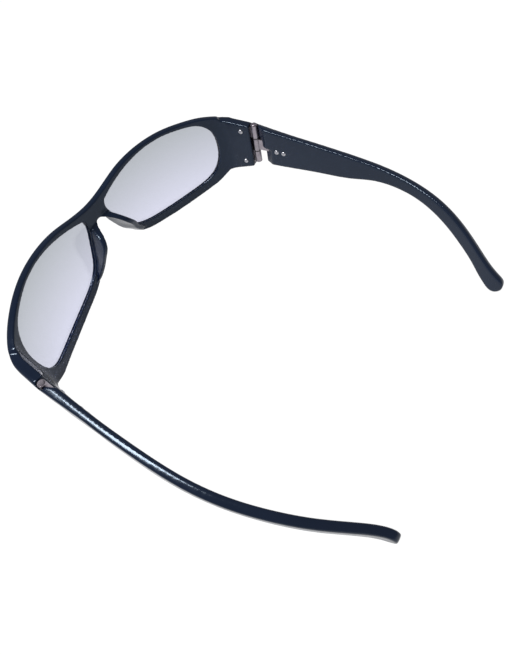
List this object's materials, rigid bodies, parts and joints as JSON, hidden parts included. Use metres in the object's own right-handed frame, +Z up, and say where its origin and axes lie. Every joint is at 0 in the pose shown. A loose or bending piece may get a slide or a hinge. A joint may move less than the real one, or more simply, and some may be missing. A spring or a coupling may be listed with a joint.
{
  "type": "sunglasses",
  "caption": "Wraparound sunglasses: curved full-rim front with tinted lenses, moulded nose pads and two folding temples on riveted three-knuckle hinges.",
  "frame": {"origin": "on the surface the glasses stand on, midway between the two temples and midway between the front's foremost point and the temple tips", "axes": "+X to the wearer's right, +Y ahead through the front, +Z up and parallel to the hinge pins; lower rims and temple tips rest on z = 0"},
  "size_m": [0.1494, 0.161, 0.0413],
  "materials": {
    "frame_plastic": "polished blue-black plastic",
    "lens_tint": "light grey-blue tint, polished",
    "hinge_metal": "satin nickel-plated metal",
    "washer_plastic": "dark matt washer",
    "core_wire": "drawn wire, hidden inside the temple"
  },
  "bodies": {
    "front": {"front_frame": "frame_plastic", "right_lens": "lens_tint", "right_hinge_front_leaf": "hinge_metal", "right_hinge_screw": "hinge_metal", "right_upper_washer": "washer_plastic", "right_lower_washer": "washer_plastic", "right_front_rivets": "hinge_metal", "left_lens": "lens_tint", "left_hinge_front_leaf": "hinge_metal", "left_hinge_screw": "hinge_metal", "left_upper_washer": "washer_plastic", "left_lower_washer": "washer_plastic", "left_front_rivets": "hinge_metal"},
    "right_temple": {"right_temple": "frame_plastic", "right_temple_core_wire": "core_wire", "right_hinge_temple_leaf": "hinge_metal", "right_temple_rivets": "hinge_metal"},
    "left_temple": {"left_temple": "frame_plastic", "left_temple_core_wire": "core_wire", "left_hinge_temple_leaf": "hinge_metal", "left_temple_rivets": "hinge_metal"}
  },
  "joints": [
    {"name": "right_temple_fold", "type": "hinge", "parent": "front", "child": "right_temple", "pos_m": [0.0699, 0.03966, 0.0254], "axis": [0, 0, -1], "range_deg": [0, 80]},
    {"name": "left_temple_fold", "type": "hinge", "parent": "front", "child": "left_temple", "pos_m": [-0.0699, 0.03966, 0.0254], "axis": [0, 0, 1], "range_deg": [0, 90]}
  ]
}
